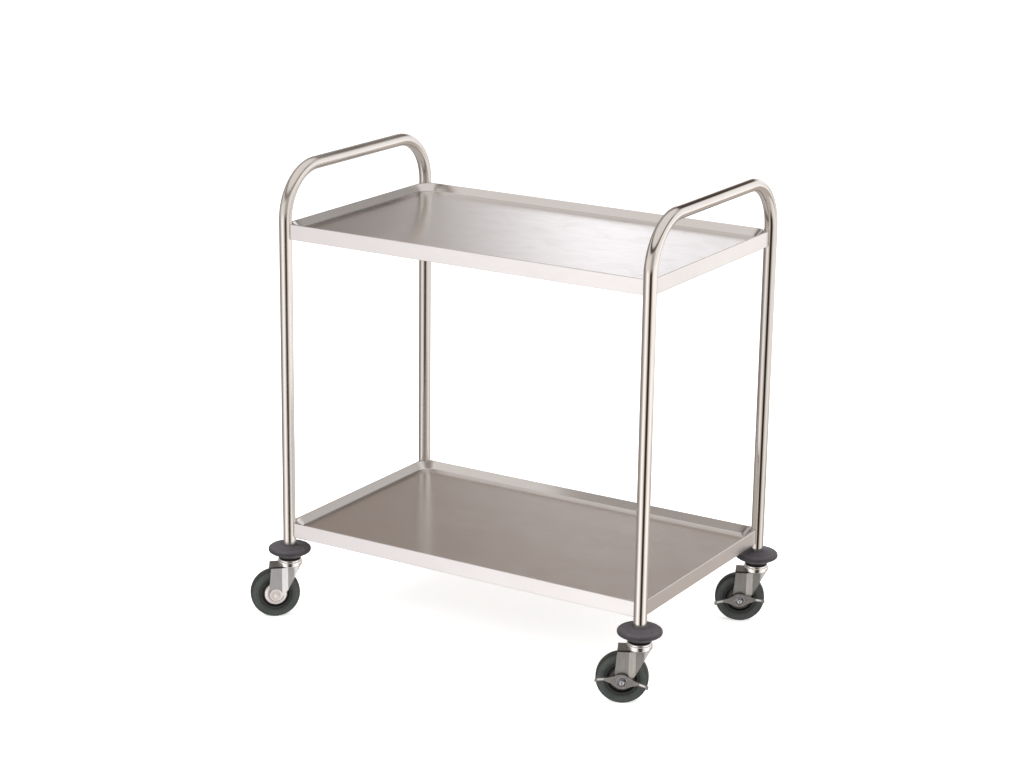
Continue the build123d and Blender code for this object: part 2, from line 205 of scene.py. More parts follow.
# ------------------------------------------------------------------ shader helpers
class Tree:
    """The node tree of a material or world, with a method for each common step.

    Most methods return the socket that carries the result.
    """

    def __init__(self, owner):
        owner.use_nodes = True
        self.tree = owner.node_tree
        self.tree.nodes.clear()

    def new(self, kind, inputs=None, **settings):
        """Add a node; inputs maps a name or index to a socket, a number or a tuple."""
        made = self.tree.nodes.new("ShaderNode" + kind)
        for key, value in settings.items():
            setattr(made, key, value)
        for key, value in (inputs or {}).items():
            socket = made.inputs[key]
            if isinstance(value, bpy.types.NodeSocket):
                self.tree.links.new(value, socket)
            elif socket.type == "RGBA":
                socket.default_value = (*value, 1)
            else:
                socket.default_value = value
        return made

    def surface(self, inputs):
        shader = self.new("BsdfPrincipled", inputs)
        self.new("OutputMaterial", {0: shader.outputs[0]})

    def coords(self, kind="Object"):
        return self.new("TexCoord").outputs[kind]

    def xyz(self, vector):
        return self.new("SeparateXYZ", {0: vector}).outputs

    def math(self, operation, *values):
        return self.new("Math", dict(enumerate(values)), operation=operation).outputs[0]

    def times(self, value, by):
        return self.math("MULTIPLY", value, by)

    def times_plus(self, value, by, plus):
        return self.math("MULTIPLY_ADD", value, by, plus)

    def add(self, total, part, weight):
        return self.math("ADD", total, self.times(part, by=weight))

    def radius(self, first, second):
        """Length of two coordinates taken together, in metres."""
        squares = [self.math("POWER", self.math("ABSOLUTE", side), 2.0)
                   for side in (first, second)]
        return self.math("SQRT", self.math("ADD", *squares))

    def ramp(self, value, stops):
        """Colour ramp through (position, grey or colour) stops."""
        made = self.new("ValToRGB", {0: value})
        elements = made.color_ramp.elements
        elements.remove(elements[-1])
        for i, (position, colour) in enumerate(stops):
            if isinstance(colour, (int, float)):
                colour = (colour,) * 3
            element = elements[0] if i == 0 else elements.new(position)
            element.position = position
            element.color = (*colour, 1)
        return made.outputs[0]

    def fade(self, value, start, end, top=1.0):
        """Rises from 0 at start to top at end."""
        return self.ramp(value, [(start, 0.0), (end, top)])

    def stretch(self, vector, scale, offset=(0, 0, 0)):
        inputs = {"Vector": vector, "Scale": scale, "Location": offset}
        return self.new("Mapping", inputs).outputs[0]

    def noise(self, vector, scale, detail, rough, distortion=0.0, offset=(0, 0, 0)):
        return self.new("TexNoise", {
            "Vector": self.stretch(vector, scale, offset),
            "Scale": 1.0,
            "Detail": detail,
            "Roughness": rough,
            "Distortion": distortion,
        }).outputs["Fac"]

    def mix(self, base, over, amount, blend="MIX"):
        inputs = {0: amount, 6: base, 7: over}
        return self.new("Mix", inputs, data_type="RGBA", blend_type=blend).outputs[2]

    def bump(self, height, strength, distance, normal=None):
        inputs = {"Height": height, "Strength": strength, "Distance": distance}
        if normal is not None:
            inputs["Normal"] = normal
        return self.new("Bump", inputs).outputs[0]


def make_material(name, recipe, **settings):
    made = bpy.data.materials.new(name)
    recipe(Tree(made), **settings)
    return made


# ------------------------------------------------------------------ material recipes
def polished_tube(tree):
    """Polished tube: fine lines along the length, faint smears, slightly warm."""
    uv = tree.coords("UV")
    fine = tree.noise(uv, scale=(2600, 9, 1), detail=2, rough=0.6)
    bands = tree.noise(uv, scale=(60, 500, 1), detail=2, rough=0.5)
    smear = tree.noise(uv, scale=(30, 5, 1), offset=(3, 7, 0), detail=5, rough=0.6,
                       distortion=0.6)
    x, y, _ = tree.xyz(tree.coords())
    colour = tree.mix((0.80, 0.755, 0.715), (0.86, 0.825, 0.79),
                      amount=tree.fade(smear, start=0.35, end=0.7))
    # Painted shade: the back legs are coloured darker than the front ones.
    back = tree.fade(tree.math("ADD", y, 0.5), start=0.62, end=0.74, top=0.55)
    colour = tree.mix(colour, (0.50, 0.47, 0.44), amount=back)
    rough = tree.times_plus(fine, by=0.05, plus=0.045)
    rough = tree.add(rough, tree.fade(smear, start=0.42, end=0.78), weight=0.07)
    # The left frame is a little hazier than the right one.
    rough = tree.add(rough, tree.math("LESS_THAN", x, 0.0), weight=0.13)
    normal = tree.bump(fine, strength=0.06, distance=0.0002)
    normal = tree.bump(bands, strength=0.02, distance=0.0004, normal=normal)
    tree.surface({"Metallic": 1, "Base Color": colour, "Roughness": rough, "Normal": normal})


def satin_sheet(tree, light, dark, rough, grain):
    """Satin sheet: grain along X that folds down over the ends, rub marks, soft stains."""
    place_at = tree.coords()
    facing = tree.xyz(tree.new("NewGeometry").outputs["True Normal"])
    is_end = tree.math("GREATER_THAN", tree.math("ABSOLUTE", facing[0]), 0.8)
    x, y, z = tree.xyz(place_at)
    folded = tree.new("CombineXYZ", {0: z, 1: y, 2: x}).outputs[0]
    along = tree.new("Mix", {0: is_end, 4: place_at, 5: folded}, data_type="VECTOR").outputs[1]
    brush = tree.noise(along, scale=(9, 1500, 1500), detail=3, rough=0.65)
    streak = tree.noise(along, scale=(2.2, 260, 260), offset=(5, 1, 2), detail=2, rough=0.5)
    cloud = tree.noise(place_at, scale=(5, 7, 7), detail=5, rough=0.6, distortion=0.4)
    stain = tree.noise(place_at, scale=(16, 21, 30), offset=(9, 4, 2), detail=6, rough=0.62,
                       distortion=0.8)
    wave = tree.new("TexWave", {
        "Scale": 3.0,
        "Distortion": 24.0,
        "Detail": 3.0,
        "Detail Scale": 1.4,
        "Vector": tree.stretch(place_at, scale=(1.3, 2.9, 2.9), offset=(2, 3, 1)),
    }, wave_type="BANDS")
    scratch = tree.ramp(wave.outputs["Fac"], [(0.0, 1.0), (0.006, 0.0)])

    tone = tree.mix(dark, light, amount=tree.fade(cloud, start=0.3, end=0.72))
    tone = tree.mix(tone, (0.90, 0.88, 0.87), amount=tree.times(streak, by=0.16 * grain))
    stained = tree.times(tree.fade(stain, start=0.52, end=0.78), by=0.06)
    tone = tree.mix(tone, (0.55, 0.53, 0.50), amount=stained)
    rough = tree.times_plus(brush, by=0.08 * grain, plus=rough)
    rough = tree.add(rough, tree.fade(stain, start=0.45, end=0.8), weight=0.035)
    rough = tree.add(rough, scratch, weight=0.03)
    sag = tree.noise(place_at, scale=(3.4, 4.6, 2), detail=1.5, rough=0.4)
    normal = tree.bump(sag, strength=0.05, distance=0.002)
    normal = tree.bump(brush, strength=0.05 * grain, distance=0.00012, normal=normal)
    normal = tree.bump(scratch, strength=0.02, distance=0.0001, normal=normal)
    tree.surface({"Metallic": 1, "Base Color": tone, "Roughness": rough, "Normal": normal})


def plated_steel(tree, base, rough, scale=1.0, warm=0.3, metal=1.0, wear=0.5):
    """Plated pressed steel: rolled grain, plating bloom, dark spots and worn edges."""
    place_at = tree.coords()
    grain = tree.noise(place_at, scale=(900 * scale, 900 * scale, 120 * scale), detail=3,
                       rough=0.6)
    bloom = tree.noise(place_at, scale=(70 * scale,) * 3, detail=4, rough=0.6, distortion=0.5)
    spots = tree.noise(place_at, scale=(420 * scale,) * 3, offset=(4, 9, 1), detail=3,
                       rough=0.7)
    edge = tree.fade(tree.new("NewGeometry").outputs["Pointiness"], start=0.50, end=0.56)
    tint = (0.93, 0.90, 0.84 + 0.1 * (1 - warm))
    bloomed = tuple(channel * part for channel, part in zip(base, tint))
    colour = tree.mix(base, bloomed, amount=tree.fade(bloom, start=0.3, end=0.7))
    spotted = tree.times(tree.fade(spots, start=0.55, end=0.75), by=0.14)
    colour = tree.mix(colour, (0.48, 0.46, 0.43), amount=spotted)
    colour = tree.mix(colour, (0.93, 0.92, 0.90), amount=tree.times(edge, by=wear))
    rough = tree.times_plus(grain, by=0.10, plus=rough)
    rough = tree.add(rough, tree.fade(bloom, start=0.4, end=0.75), weight=0.10)
    normal = tree.bump(grain, strength=0.05, distance=0.00012)
    normal = tree.bump(bloom, strength=0.08, distance=0.0005, normal=normal)
    tree.surface({"Metallic": metal, "Base Color": colour, "Roughness": rough,
                  "Normal": normal})


CROWN_Z, RACE_Z = 0.1069, 0.1101  # metres: where the fork's crown and the race above it begin


def plated_fork(tree):
    """Fork: hazy side plates with painted shade near the crown, painted dark reflections on the
    crown's bend and upward faces, a bright race above.
    """
    place_at = tree.coords()
    x, _, z = tree.xyz(place_at)
    up = tree.xyz(tree.new("NewGeometry").outputs["Normal"])[2]
    grain = tree.noise(place_at, scale=(900, 900, 110), detail=3, rough=0.6)
    drawn = tree.noise(place_at, scale=(260, 260, 26), offset=(2, 5, 1), detail=4, rough=0.6,
                       distortion=0.3)
    bloom = tree.noise(place_at, scale=(60, 60, 60), detail=4, rough=0.6, distortion=0.5)
    colour = tree.mix((0.43, 0.415, 0.39), (0.56, 0.55, 0.53),
                      amount=tree.fade(drawn, start=0.30, end=0.72))
    bloomed = tree.times(tree.fade(bloom, start=0.45, end=0.75), by=0.30)
    colour = tree.mix(colour, (0.46, 0.43, 0.40), amount=bloomed)
    # Painted shade: the plates darken a little towards the crown.
    crown_shade = tree.fade(tree.times(z, by=8.0), start=0.62, end=0.84, top=0.30)
    colour = tree.mix(colour, (0.34, 0.32, 0.30), amount=crown_shade)
    race = tree.math("GREATER_THAN", z, RACE_Z)
    crown = tree.times(tree.math("GREATER_THAN", z, CROWN_Z),
                       by=tree.math("SUBTRACT", 1.0, race))
    # The bend is where the crown's surface faces neither sideways nor straight up.
    tilted = tree.ramp(up, [(0.01, 0.0), (0.08, 1.0), (0.93, 1.0), (0.985, 0.0)])
    bend = tree.times(crown, by=tilted)
    ledge_reflection = tree.times(crown, by=tree.fade(up, start=0.90, end=0.98))
    # Paler at negative X.
    pale = tree.times(tree.math("LESS_THAN", x, 0.0), by=0.55)
    colour = tree.mix(colour, (0.84, 0.84, 0.87), amount=pale)
    colour = tree.mix(colour, (0.90, 0.885, 0.87), amount=race)
    # Painted dark reflections: dark grey on the crown's upward faces, near black on its bend.
    colour = tree.mix(colour, (0.16, 0.145, 0.135), amount=tree.times(ledge_reflection, by=0.92))
    colour = tree.mix(colour, (0.022, 0.020, 0.019), amount=tree.times(bend, by=0.96))
    rough = tree.times_plus(grain, by=0.08, plus=0.15)
    rough = tree.add(rough, bloom, weight=0.06)
    rough = tree.math("SUBTRACT", rough, tree.times(race, by=0.12))
    normal = tree.bump(grain, strength=0.03, distance=0.0001)
    normal = tree.bump(bloom, strength=0.06, distance=0.0005, normal=normal)
    tree.surface({
        "Metallic": tree.times_plus(race, by=0.32, plus=0.66),
        "Base Color": colour,
        "Roughness": rough,
        "Normal": normal,
    })


def moulded_rubber(tree, base, light, rough, dust, scale, specular, shade):
    """Moulded rubber: fine pebble, faint bloom, scuffs, dust gathering on upward faces."""
    place_at = tree.coords()
    pebble = tree.noise(place_at, scale=(1500 * scale,) * 3, detail=3, rough=0.6)
    bloom = tree.noise(place_at, scale=(55 * scale,) * 3, detail=5, rough=0.6, distortion=0.4)
    scuff = tree.noise(place_at, scale=(160 * scale, 160 * scale, 420 * scale),
                       offset=(7, 2, 5), detail=4, rough=0.7, distortion=0.6)
    facing = tree.xyz(tree.new("NewGeometry").outputs["Normal"])
    up = tree.math("MAXIMUM", facing[2], 0.0)
    colour = tree.mix(base, light, amount=tree.fade(bloom, start=0.3, end=0.72))
    scuffed = tree.times(tree.fade(scuff, start=0.52, end=0.70), by=0.35)
    colour = tree.mix(colour, tuple(channel * 1.9 for channel in light), amount=scuffed)
    dusty = tree.times(up, by=tree.ramp(bloom, [(0.35, 0.3), (0.8, 1.0)]))
    colour = tree.mix(colour, (0.42, 0.40, 0.40), amount=tree.times(dusty, by=dust))
    # Painted shade from the part's shade ramp, multiplied over the colour.
    colour = tree.mix(colour, shade(tree, place_at), amount=1.0, blend="MULTIPLY")
    rough = tree.times_plus(pebble, by=0.16, plus=rough - 0.08)
    rough = tree.add(rough, bloom, weight=0.10)
    normal = tree.bump(pebble, strength=0.22, distance=0.00025)
    normal = tree.bump(scuff, strength=0.10, distance=0.0003, normal=normal)
    tree.surface({"Base Color": colour, "Roughness": rough, "Specular IOR Level": specular,
                  "Normal": normal})


# (radius as a part of 50 mm, brightness)
TYRE_SHADES = [
    (0.50, 0.08), (0.545, 0.08), (0.565, 0.30), (0.60, 0.42), (0.635, 0.36), (0.65, 0.20),
    (0.672, 0.55), (0.72, 0.72), (0.80, 0.90), (0.87, 0.92), (0.92, 0.70), (0.955, 0.40),
    (0.985, 0.24), (1.0, 0.34),
]
BUMPER_RIM_SHADES = [
    (0.30, 0.55), (0.44, 0.72), (0.70, 0.82), (0.79, 0.80), (0.84, 0.66), (0.86, 0.42),
]
# (height above 120 mm as a part of 40 mm, brightness)
BUMPER_HEIGHT_SHADES = [
    (0.10, 0.08), (0.17, 0.15), (0.26, 0.50), (0.36, 0.86), (0.46, 0.86), (0.56, 0.84),
    (0.66, 0.96),
]


def tyre_shade(tree, place_at):
    """Painted shade: near black in the groove by the hub, lighter across the wall, darker again
    at the shoulder and tread.
    """
    x, _, z = tree.xyz(place_at)
    return tree.ramp(tree.times(tree.radius(x, z), by=20.0), TYRE_SHADES)


def bumper_shade(tree, place_at):
    """Darker along the rounded rim and down by the neck."""
    x, y, z = tree.xyz(place_at)
    rim = tree.ramp(tree.times(tree.radius(x, y), by=20.0), BUMPER_RIM_SHADES)
    height = tree.times(tree.math("SUBTRACT", z, 0.120), by=25.0)
    neck = tree.ramp(height, BUMPER_HEIGHT_SHADES)
    return tree.mix(rim, neck, amount=1.0, blend="MULTIPLY")


def dark_plastic(tree, base, rough):
    """Moulded plastic with a fine sparkle and a soft cloud."""
    place_at = tree.coords()
    spark = tree.noise(place_at, scale=(1200,) * 3, detail=2, rough=0.5)
    cloud = tree.noise(place_at, scale=(90,) * 3, detail=4, rough=0.6)
    light = tuple(channel * 1.5 + 0.01 for channel in base)
    tree.surface({
        "Base Color": tree.mix(base, light, amount=tree.fade(cloud, start=0.35, end=0.7)),
        "Roughness": tree.times_plus(cloud, by=0.2, plus=rough - 0.1),
        "Normal": tree.bump(spark, strength=0.18, distance=0.0002),
    })


def pale_floor(tree):
    tree.surface({
        "Base Color": (0.93, 0.93, 0.93),
        "Roughness": 0.9,
        "Specular IOR Level": 0.0,
        "Emission Color": (1, 1, 1),
        "Emission Strength": 0.60,
    })


# ------------------------------------------------------------------ materials
# one for each material slot: (slot, recipe, settings)
MATERIALS = {slot: make_material(slot, recipe, **settings) for slot, recipe, settings in (
    ("polished_tube", polished_tube, {}),
    ("satin_tray", satin_sheet, dict(
        light=(0.80, 0.775, 0.76), dark=(0.765, 0.738, 0.72), rough=0.15, grain=1.0)),
    ("underside_sheet", satin_sheet, dict(
        light=(0.70, 0.69, 0.68), dark=(0.60, 0.59, 0.57), rough=0.30, grain=0.8)),
    ("zinc_fasteners", plated_steel, dict(base=(0.82, 0.82, 0.81), rough=0.10, scale=1.5)),
    ("zinc_caster", plated_fork, {}),
    ("bearing_steel", plated_steel, dict(
        base=(0.70, 0.71, 0.72), rough=0.16, scale=2.0, warm=0.0)),
    ("hub_cover_steel", plated_steel, dict(
        base=(0.80, 0.735, 0.72), rough=0.22, scale=1.2, warm=0.4, metal=0.62)),
    ("hub_plastic", dark_plastic, dict(base=(0.035, 0.036, 0.036), rough=0.45)),
    ("tyre_rubber", moulded_rubber, dict(
        base=(0.044, 0.054, 0.049), light=(0.066, 0.075, 0.069), rough=0.42, dust=0.10,
        scale=1.0, specular=0.45, shade=tyre_shade)),
    ("bumper_rubber", moulded_rubber, dict(
        base=(0.056, 0.050, 0.062), light=(0.082, 0.075, 0.090), rough=0.46, dust=0.20,
        scale=0.8, specular=0.5, shade=bumper_shade)),
)}

# materials that single parts wear in place of their slot's material
# A dark steel for the brake cams.
DARK_CAM = make_material("dark_cam", plated_steel, base=(0.085, 0.080, 0.076), rough=0.26,
                          scale=1.6, warm=0.5, metal=0.8, wear=0.03)
DARK_CHROME = make_material("dark_chrome_nut", plated_steel, base=(0.52, 0.54, 0.57),
                            rough=0.04, scale=1.5, warm=0.0)
PEDAL_STEEL = make_material("pedal_steel", plated_steel, base=(0.56, 0.555, 0.545),
                            rough=0.15, scale=1.0, warm=0.4, metal=0.80, wear=0.25)
SATIN_NUT = make_material("satin_nut", plated_steel, base=(0.80, 0.735, 0.715), rough=0.26,
                          scale=1.2, warm=0.4, metal=0.55)
# A darker copy of the hub cover's steel, for the outer covers of the braked casters.
DARK_COVER = make_material("dark_hub_cover", plated_steel, base=(0.075, 0.068, 0.062),
                           rough=0.30, scale=1.2, warm=0.5, metal=0.7, wear=0.04)


def set_material(node_name, material):
    materials = NODES[node_name].data.materials
    materials.clear()
    materials.append(material)


def place(name, mesh, matrix, body, slot, replaces=None):
    """Add a part that rides on a body and, where named, replaces a frame part."""
    made = add_object(name, mesh)
    made.matrix_world = matrix
    if not mesh.materials:
        mesh.materials.append(MATERIALS[slot])
    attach(made, body)
    if replaces:
        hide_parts(replaces)


# Every part carried over from the frame gets the material of its slot.
SLOT_OF = {part["node"]: part["material_slot"] for part in frame["record"]["subparts"]}
for node_name in NODES:
    set_material(node_name, MATERIALS[SLOT_OF[node_name]])


# ------------------------------------------------------------------ end frames
LEG_STEPS, BEND_STEPS, TOP_STEPS = 24, 40, 12
TUBE_SEGMENTS = 72


def frame_path():
    """Centre line (y, z) up the front leg, over the handle and down the back leg."""
    straight = HANDLE_Z - BEND_R - TUBE_END
    front = [(-LEG_Y, TUBE_END + straight * k / LEG_STEPS) for k in range(LEG_STEPS + 1)]
    for k in range(1, BEND_STEPS + 1):
        angle = math.pi - (math.pi / 2) * k / BEND_STEPS
        front.append((-LEG_Y + BEND_R + BEND_R * math.cos(angle),
                      HANDLE_Z - BEND_R + BEND_R * math.sin(angle)))
    top = [(-LEG_Y + BEND_R + (2 * LEG_Y - 2 * BEND_R) * k / TOP_STEPS, HANDLE_Z)
           for k in range(1, TOP_STEPS)]
    return front + top + [(-y, z) for y, z in reversed(front)]


def bore(loop, centre):
    """The tube's inner edge at a cut end, and the same loop further up inside."""
    centre = Vector(centre)
    part = (TUBE_R - TUBE_WALL) / TUBE_R
    edge = [tuple(centre + (Vector(point) - centre) * part) for point in loop]
    deep = [tuple(Vector(point) + Vector((0, 0, TUBE_BORE))) for point in edge]
    return edge, deep


def tube_frame(name, x):
    """Bent tube; its UVs are metres round the section, folded at half way, and along it."""
    path = frame_path()
    loops, uv, run = [], [], 0.0
    for i, (y, z) in enumerate(path):
        y_before, z_before = path[max(0, i - 1)]
        y_after, z_after = path[min(len(path) - 1, i + 1)]
        along = Vector((0, y_after - y_before, z_after - z_before)).normalized()
        side = along.cross(Vector((1, 0, 0)))
        run += math.hypot(y - y_before, z - z_before)
        loop = []
        for k in range(TUBE_SEGMENTS):
            angle = TAU * k / TUBE_SEGMENTS
            outward = math.cos(angle) * Vector((1, 0, 0)) + math.sin(angle) * side
            loop.append(tuple(Vector((x, y, z)) + TUBE_R * outward))
            uv.append((TUBE_R * MM * (angle if angle <= math.pi else TAU - angle), run * MM))
        loops.append(loop)
    front_edge, front_deep = bore(loops[0], (x, *path[0]))
    back_edge, back_deep = bore(loops[-1], (x, *path[-1]))
    loops = [front_deep, front_edge] + loops + [back_edge, back_deep]
    uv = uv[:TUBE_SEGMENTS] * 2 + uv + uv[-TUBE_SEGMENTS:] * 2
    return skin(name, loops, sharp=40, uv=uv)


for side, x in (("left", -LEG_X), ("right", LEG_X)):
    name = f"bent_tube_{side}"
    place(name, tube_frame(name, x), Matrix.Identity(4), "frame", "polished_tube",
          replaces=f"{side}_end_frame")


# ------------------------------------------------------------------ trays
CORNER_STEPS = 20
X_SIDE_POINTS, Y_SIDE_POINTS = 40, 26  # points filled in along the sides that run in X and Y
NOTCH_R = 12.9  # concave corner round a leg
BASIN_CORNER_R = 40.0
LAND, BASIN_RUN, BASIN_DROP = 2.0, 13.0, 14.0  # flat rim, then the slope's width and depth
SHEET = 1.0
FLANGE = 11.6  # inset of the return flange, before its rounded tip
FOOT_UNDER = 14.55  # inset of the slope's foot on the underside


def tray_outline(arc):
    """Anticlockwise outline from the front right, made from the +X +Y corner's points."""
    corners = []
    for side_x, side_y in ((1, -1), (1, 1), (-1, 1), (-1, -1)):
        points = [(side_x * x, side_y * y) for x, y in arc]
        corners.append(points if side_x == side_y else points[::-1])
    outline = []
    for i, count in enumerate((Y_SIDE_POINTS, X_SIDE_POINTS) * 2):
        outline += corners[i]
        (x, y), (end_x, end_y) = corners[i][-1], corners[(i + 1) % 4][0]
        for k in range(1, count + 1):
            outline.append((x + (end_x - x) * k / (count + 1),
                            y + (end_y - y) * k / (count + 1)))
    return outline


def notched(inset):
    """Tray outline at an inset, with concave corners round the legs."""
    half_x, half_y, radius = TRAY_X - inset, TRAY_Y - inset, NOTCH_R + inset
    past_x, past_y = half_x - LEG_X, half_y - LEG_Y
    start = (half_x, LEG_Y - math.sqrt(radius * radius - past_x * past_x))
    end = (LEG_X - math.sqrt(radius * radius - past_y * past_y), half_y)
    first = math.atan2(start[1] - LEG_Y, past_x) % TAU
    last = math.atan2(past_y, end[0] - LEG_X) % TAU
    arc = [start]
    for k in range(1, CORNER_STEPS):
        angle = first + (last - first) * k / CORNER_STEPS
        arc.append((LEG_X + radius * math.cos(angle), LEG_Y + radius * math.sin(angle)))
    arc.append(end)
    return tray_outline(arc)


def rounded(inset):
    """Basin outline at an inset from the tray edge; its corner radius shrinks with it."""
    radius = BASIN_CORNER_R - (inset - LAND)
    arc = []
    for k in range(CORNER_STEPS + 1):
        angle = (math.pi / 2) * k / CORNER_STEPS
        arc.append((TRAY_X - inset - radius + radius * math.cos(angle),
                    TRAY_Y - inset - radius + radius * math.sin(angle)))
    return tray_outline(arc)


def tray_mesh(name, top):
    bottom, floor_z = top - SKIRT, top - BASIN_DROP
    length = math.hypot(BASIN_RUN, BASIN_DROP)
    slope_in, slope_down = BASIN_RUN / length, BASIN_DROP / length
    bend = math.atan2(BASIN_DROP, BASIN_RUN)
    foot = LAND + BASIN_RUN
    foot_r, lip_r, edge_r, hem_r = 4.5, 0.9, 1.2, 0.9
    foot_tangent = foot_r * math.tan(bend / 2)
    lip_tangent = lip_r * math.tan(bend / 2)
    margin = 0.8  # extra loop just beyond each bend

    # Top skin, from the middle outwards: floor, foot bend and slope.
    section = [(rounded(foot + foot_tangent + 3.0), floor_z),
               (rounded(foot + foot_tangent + margin), floor_z)]
    for k in range(9):
        angle = bend * k / 8
        section.append((rounded(foot + foot_tangent - foot_r * math.sin(angle)),
                        floor_z + foot_r * (1 - math.cos(angle))))
    for inset, height in (
        (foot - slope_in * (foot_tangent + margin),
         floor_z + slope_down * (foot_tangent + margin)),
        (LAND + slope_in * (lip_tangent + margin), top - slope_down * (lip_tangent + margin)),
    ):
        section.append((rounded(inset), height))
    # The lip bend, then the flat rim.
    for k in range(6):
        angle = bend * (1 - k / 5)
        section.append((rounded(LAND - lip_tangent + lip_r * math.sin(angle)),
                        top - lip_r * (1 - math.cos(angle))))
    section.append((notched(1.25), top))
    # Outer edge, skirt and the bend at its foot.
    for k in range(7):
        angle = (math.pi / 2) * k / 6
        section.append((notched(edge_r - edge_r * math.sin(angle)),
                        top - edge_r + edge_r * math.cos(angle)))
    section += [(notched(0.0), top - 2.2), (notched(0.0), bottom + 1.8)]
    for k in range(5):
        angle = (math.pi / 2) * k / 4
        section.append((notched(hem_r - hem_r * math.cos(angle)),
                        bottom + hem_r - hem_r * math.sin(angle)))
    # Return flange, then the hidden side back to the middle.
    under = floor_z - SHEET
    section += [
        (notched(1.4), bottom),
        (notched(FLANGE), bottom),
        (notched(FLANGE + 0.4), bottom + SHEET / 2),
        (notched(FLANGE), bottom + SHEET),
        (notched(SHEET), bottom + SHEET),
        (notched(SHEET), top - SHEET),
        (rounded(1.56), top - SHEET),
        (rounded(FOOT_UNDER - 0.7), under + 0.75),
        (rounded(FOOT_UNDER + 0.4), under + 0.12),
        (rounded(FOOT_UNDER + 1.2), under),
        (rounded(19.0), under),
    ]
    loops = [[(x, y, height) for x, y in outline] for outline, height in section]
    return skin(name, loops, sharp=30)


for name, top, replaced in (("upper_tray", TOP_Z, "top_tray"),
                            ("lower_tray", LOW_Z, "bottom_tray")):
    place(name, tray_mesh(name, top), Matrix.Identity(4), "frame", "satin_tray", replaced)


# ------------------------------------------------------------------ turned parts
# Profiles are (radius, place along the axis, corner radius), in mm.

# Bumper round a leg above its caster; heights are above the floor.
BUMPER = [
    (12.74, 153.2, 0.2), (14.2, 153.2, 0.9), (16.2, 151.3, 1.2), (22.5, 149.6, 10),
    (30.0, 148.3, 14), (36.4, 147.2, 5), (38.1, 147.4, 0.9), (39.4, 147.2, 1.6),
    (42.3, 144.9, 3.2), (43.0, 141.4, 4.0), (42.2, 138.2, 3.2), (39.0, 135.9, 2.5),
    (30.0, 130.9, 20), (24.4, 127.4, 6), (21.6, 125.4, 2), (20.6, 123.3, 0.6),
    (12.74, 123.3, 0.2),
]

# Half profiles of the tyre and core, from the inside outwards on the +Y side.
TYRE = [
    (25.0, 8.2, 0.3), (26.6, 9.6, 0.4), (26.9, 11.8, 0.6), (28.0, 12.6, 0.5),
    (31.2, 12.95, 0.3), (31.9, 12.3, 0.3), (32.9, 12.3, 0.3), (33.6, 13.0, 0.4),
    (42.0, 13.0, 2.5), (45.6, 12.5, 2.6), (47.9, 11.3, 2.6), (49.35, 9.2, 2.6),
    (49.85, 6.4, 4.0), (49.98, 0.75, 0.2),
]
CORE = [
    (7.0, 7.9), (9.0, 7.9), (9.0, 14.6, 0.2), (11.4, 14.6, 0.4), (12.2, 13.6, 0.4),
    (12.7, 4.4, 1.4), (20.2, 3.0, 1.6), (20.9, 7.4, 0.5), (21.4, 8.0, 0.4), (25.0, 8.0),
]

# Pressed cover on the +Y side: a raised boss, a shallow dish, a bead and a turned-in edge.
COVER_FACE = [
    (9.4, 14.9, 0.1), (9.4, 16.5, 0.5), (10.9, 16.75, 0.5), (12.4, 16.2, 0.8),
    (13.6, 15.2, 0.8), (15.6, 15.15, 0.6), (16.7, 15.6, 0.6), (17.9, 15.2, 0.6),
    (19.6, 14.3, 0.8), (21.6, 13.5, 0.6), (22.5, 12.2, 0.5), (22.5, 9.2, 0.2),
]
COVER_UNDERSIDE = [
    (21.5, 9.2, 0.1), (21.5, 11.8, 0.6), (20.3, 12.7, 0.6), (17.9, 14.0, 0.5),
    (16.6, 14.5, 0.4), (13.4, 14.2, 0.5), (12.0, 14.7, 0.4),
]

bumper = turned("soft_bumper", BUMPER, segments=128, axis="Z", sharp=50)
for corner in CORNERS:
    place(f"soft_bumper_{corner}", bumper, leg_matrix(corner), "frame", "bumper_rubber",
          replaces=f"bumper_{corner}")

tyre = turned("tyre", mirrored(TYRE), segments=144)
core = turned("wheel_core", mirrored(CORE), segments=96)
cover = turned("hub_cover", COVER_FACE + COVER_UNDERSIDE, segments=112)
dark_cover = turned("hub_cover_dark", COVER_FACE + COVER_UNDERSIDE, segments=112)
dark_cover.materials.append(DARK_COVER)
for corner in CORNERS:
    axle = axle_matrix(corner)
    body = f"wheel_{corner}"
    place(f"rubber_tyre_{corner}", tyre, axle, body, "tyre_rubber", f"tyre_{corner}")
    place(f"wheel_core_{corner}", core, axle, body, "hub_plastic", f"wheel_hub_{corner}")
    # The outer cover is turned round to the -Y side of the wheel.
    place(f"hub_cover_outer_{corner}", dark_cover if corner.endswith("right") else cover,
          axle @ Matrix.Rotation(math.pi, 4, "Z"), body, "hub_cover_steel",
          replaces=f"hub_covers_{corner}")
    place(f"hub_cover_inner_{corner}", cover, axle, body, "hub_cover_steel")


# ------------------------------------------------------------------ caster parts kept
def ease(node_name, width):
    """Round the edges of a frame part by a width in mm."""
    modifiers = NODES[node_name].modifiers
    weld = modifiers.new("weld", "WELD")
    weld.merge_threshold = 0.00001
    flat = modifiers.new("flat", "DECIMATE")
    flat.decimate_type = "DISSOLVE"
    flat.angle_limit = math.radians(0.6)
    edge = modifiers.new("edge", "BEVEL")
    edge.width = width * MM
    edge.segments = 2
    edge.limit_method = "ANGLE"
    edge.angle_limit = math.radians(38)
    edge.harden_normals = False
    shade = modifiers.new("shade", "WEIGHTED_NORMAL")
    shade.keep_sharp = True


